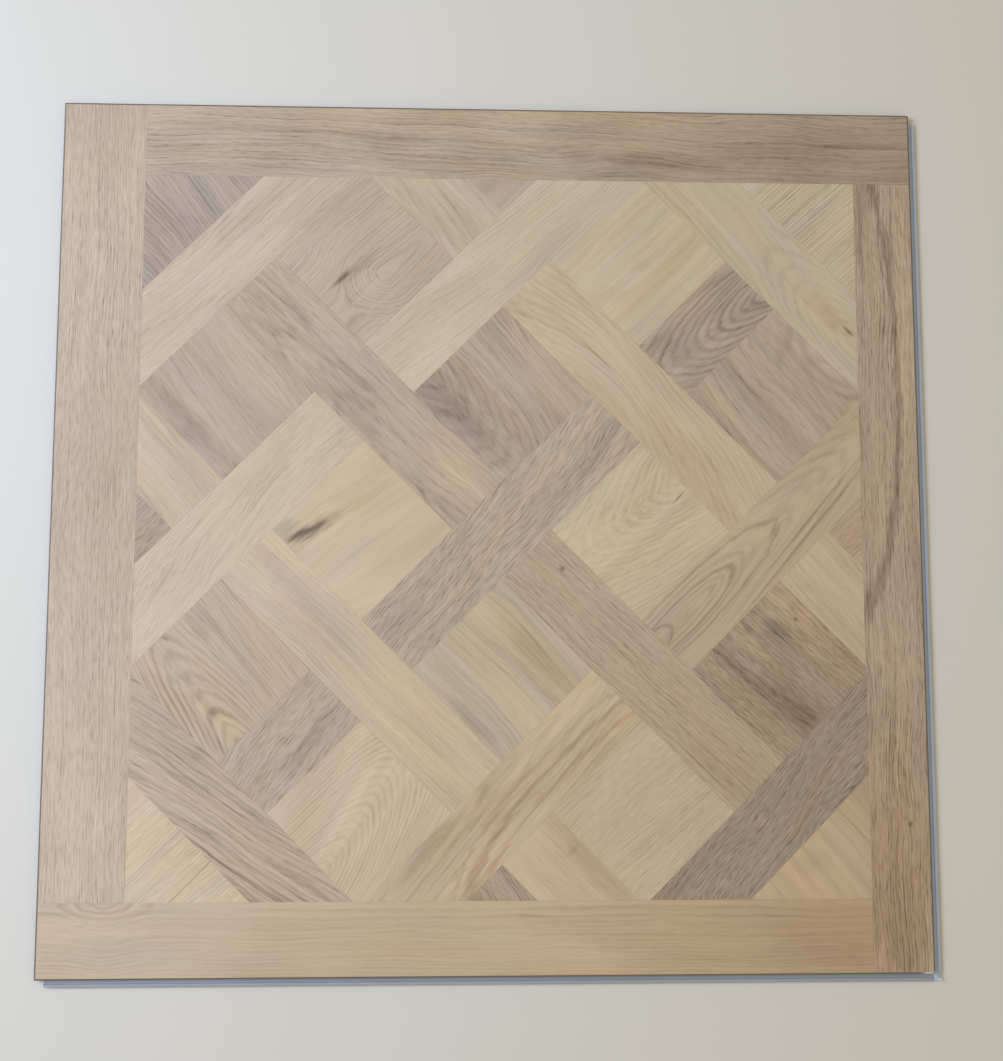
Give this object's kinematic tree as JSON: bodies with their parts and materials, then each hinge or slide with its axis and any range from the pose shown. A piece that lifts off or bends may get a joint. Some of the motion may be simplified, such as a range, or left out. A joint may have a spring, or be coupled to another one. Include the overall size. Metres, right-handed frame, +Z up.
{
  "type": "vinyl floor panel",
  "caption": "Square vinyl floor panel printed as oak Versailles parquet, on a grey rigid core milled with locking lips along its right and front edges and tongues along the others.",
  "frame": {"origin": "middle of the face square, on the underside", "axes": "+X to the right and +Y to the back along the edges of the face, +Z up out of the printed face"},
  "size_m": [0.6062, 0.6062, 0.005],
  "materials": {
    "rigid_vinyl_core": "grey rigid vinyl with fine cutter marks along the milled edges",
    "printed_oak_face": "matt embossed clear wear layer over a pale oak Versailles print, with a painted bevel"
  },
  "bodies": {
    "root": {"core_board": "rigid_vinyl_core", "face_layer": "printed_oak_face"}
  },
  "joints": []
}
